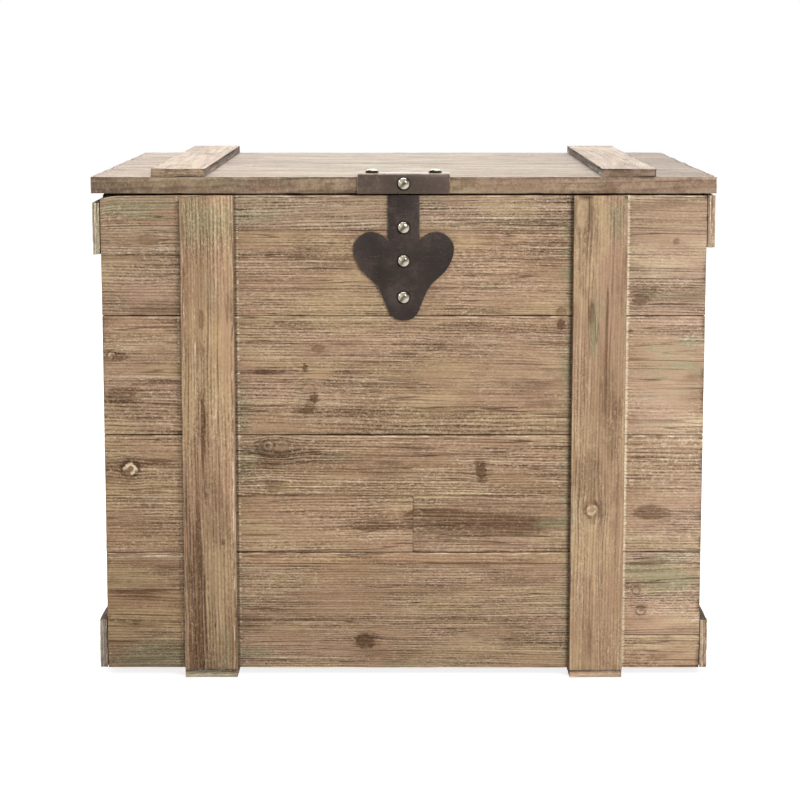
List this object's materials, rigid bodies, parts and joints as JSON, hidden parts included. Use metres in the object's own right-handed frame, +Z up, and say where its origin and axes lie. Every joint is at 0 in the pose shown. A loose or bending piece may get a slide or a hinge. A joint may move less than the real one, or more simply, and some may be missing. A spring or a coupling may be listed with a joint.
{
  "type": "decorative trunk",
  "caption": "Boarded wooden trunk with upright battens, a hinged battened lid and a heart-shaped metal latch plate.",
  "frame": {"origin": "centre of the bounding box's base, on the surface that the foot strips stand on", "axes": "+X to the right as seen from the front, -Y towards the front with the latch plate, +Z up"},
  "size_m": [0.508, 0.4064, 0.4236],
  "materials": {
    "weathered_fir": "weathered and brushed, matt",
    "plain_fir": "sawn, matt",
    "dark_iron": "dark antique, satin",
    "worn_iron": "worn dark antique, satin",
    "polished_steel": "polished, slightly tarnished",
    "zinc_steel": "zinc plated, satin"
  },
  "bodies": {
    "box": {"front_board_1": "weathered_fir", "back_board_1": "weathered_fir", "left_board_1": "weathered_fir", "right_board_1": "weathered_fir", "front_board_2": "weathered_fir", "back_board_2": "weathered_fir", "left_board_2": "weathered_fir", "right_board_2": "weathered_fir", "front_board_3": "weathered_fir", "back_board_3": "weathered_fir", "left_board_3": "weathered_fir", "right_board_3": "weathered_fir", "front_board_4": "weathered_fir", "back_board_4": "weathered_fir", "left_board_4": "weathered_fir", "right_board_4": "weathered_fir", "front_batten_left": "weathered_fir", "corner_post_front_left": "plain_fir", "front_batten_right": "weathered_fir", "corner_post_front_right": "plain_fir", "back_batten_left": "weathered_fir", "corner_post_back_left": "plain_fir", "back_batten_right": "weathered_fir", "corner_post_back_right": "plain_fir", "foot_strip_left": "weathered_fir", "side_trim_top_left": "weathered_fir", "side_trim_bottom_left": "weathered_fir", "hinge_body_leaf_left": "zinc_steel", "hinge_pin_left": "zinc_steel", "hinge_body_screw_left_1": "zinc_steel", "hinge_body_screw_left_2": "zinc_steel", "foot_strip_right": "weathered_fir", "side_trim_top_right": "weathered_fir", "side_trim_bottom_right": "weathered_fir", "hinge_body_leaf_right": "zinc_steel", "hinge_pin_right": "zinc_steel", "hinge_body_screw_right_1": "zinc_steel", "hinge_body_screw_right_2": "zinc_steel", "floor_panel": "plain_fir", "heart_plate": "dark_iron", "heart_plate_nail_1": "polished_steel", "heart_plate_nail_2": "polished_steel", "heart_plate_nail_3": "polished_steel"},
    "lid": {"lid_board_1": "weathered_fir", "lid_board_2": "weathered_fir", "lid_board_3": "weathered_fir", "lid_board_4": "weathered_fir", "lid_batten_left": "weathered_fir", "hinge_lid_leaf_left": "zinc_steel", "hinge_lid_screw_left_1": "zinc_steel", "hinge_lid_screw_left_2": "zinc_steel", "lid_bracket_nail_left": "polished_steel", "lid_batten_right": "weathered_fir", "hinge_lid_leaf_right": "zinc_steel", "hinge_lid_screw_right_1": "zinc_steel", "hinge_lid_screw_right_2": "zinc_steel", "lid_bracket_nail_right": "polished_steel", "lid_bracket": "worn_iron", "lid_bracket_nail_front": "polished_steel"}
  },
  "joints": [
    {"name": "lid_hinge", "type": "hinge", "parent": "box", "child": "lid", "pos_m": [0, 0.19925, 0.4026], "axis": [-1, 0, 0], "range_deg": [0, 110]}
  ]
}
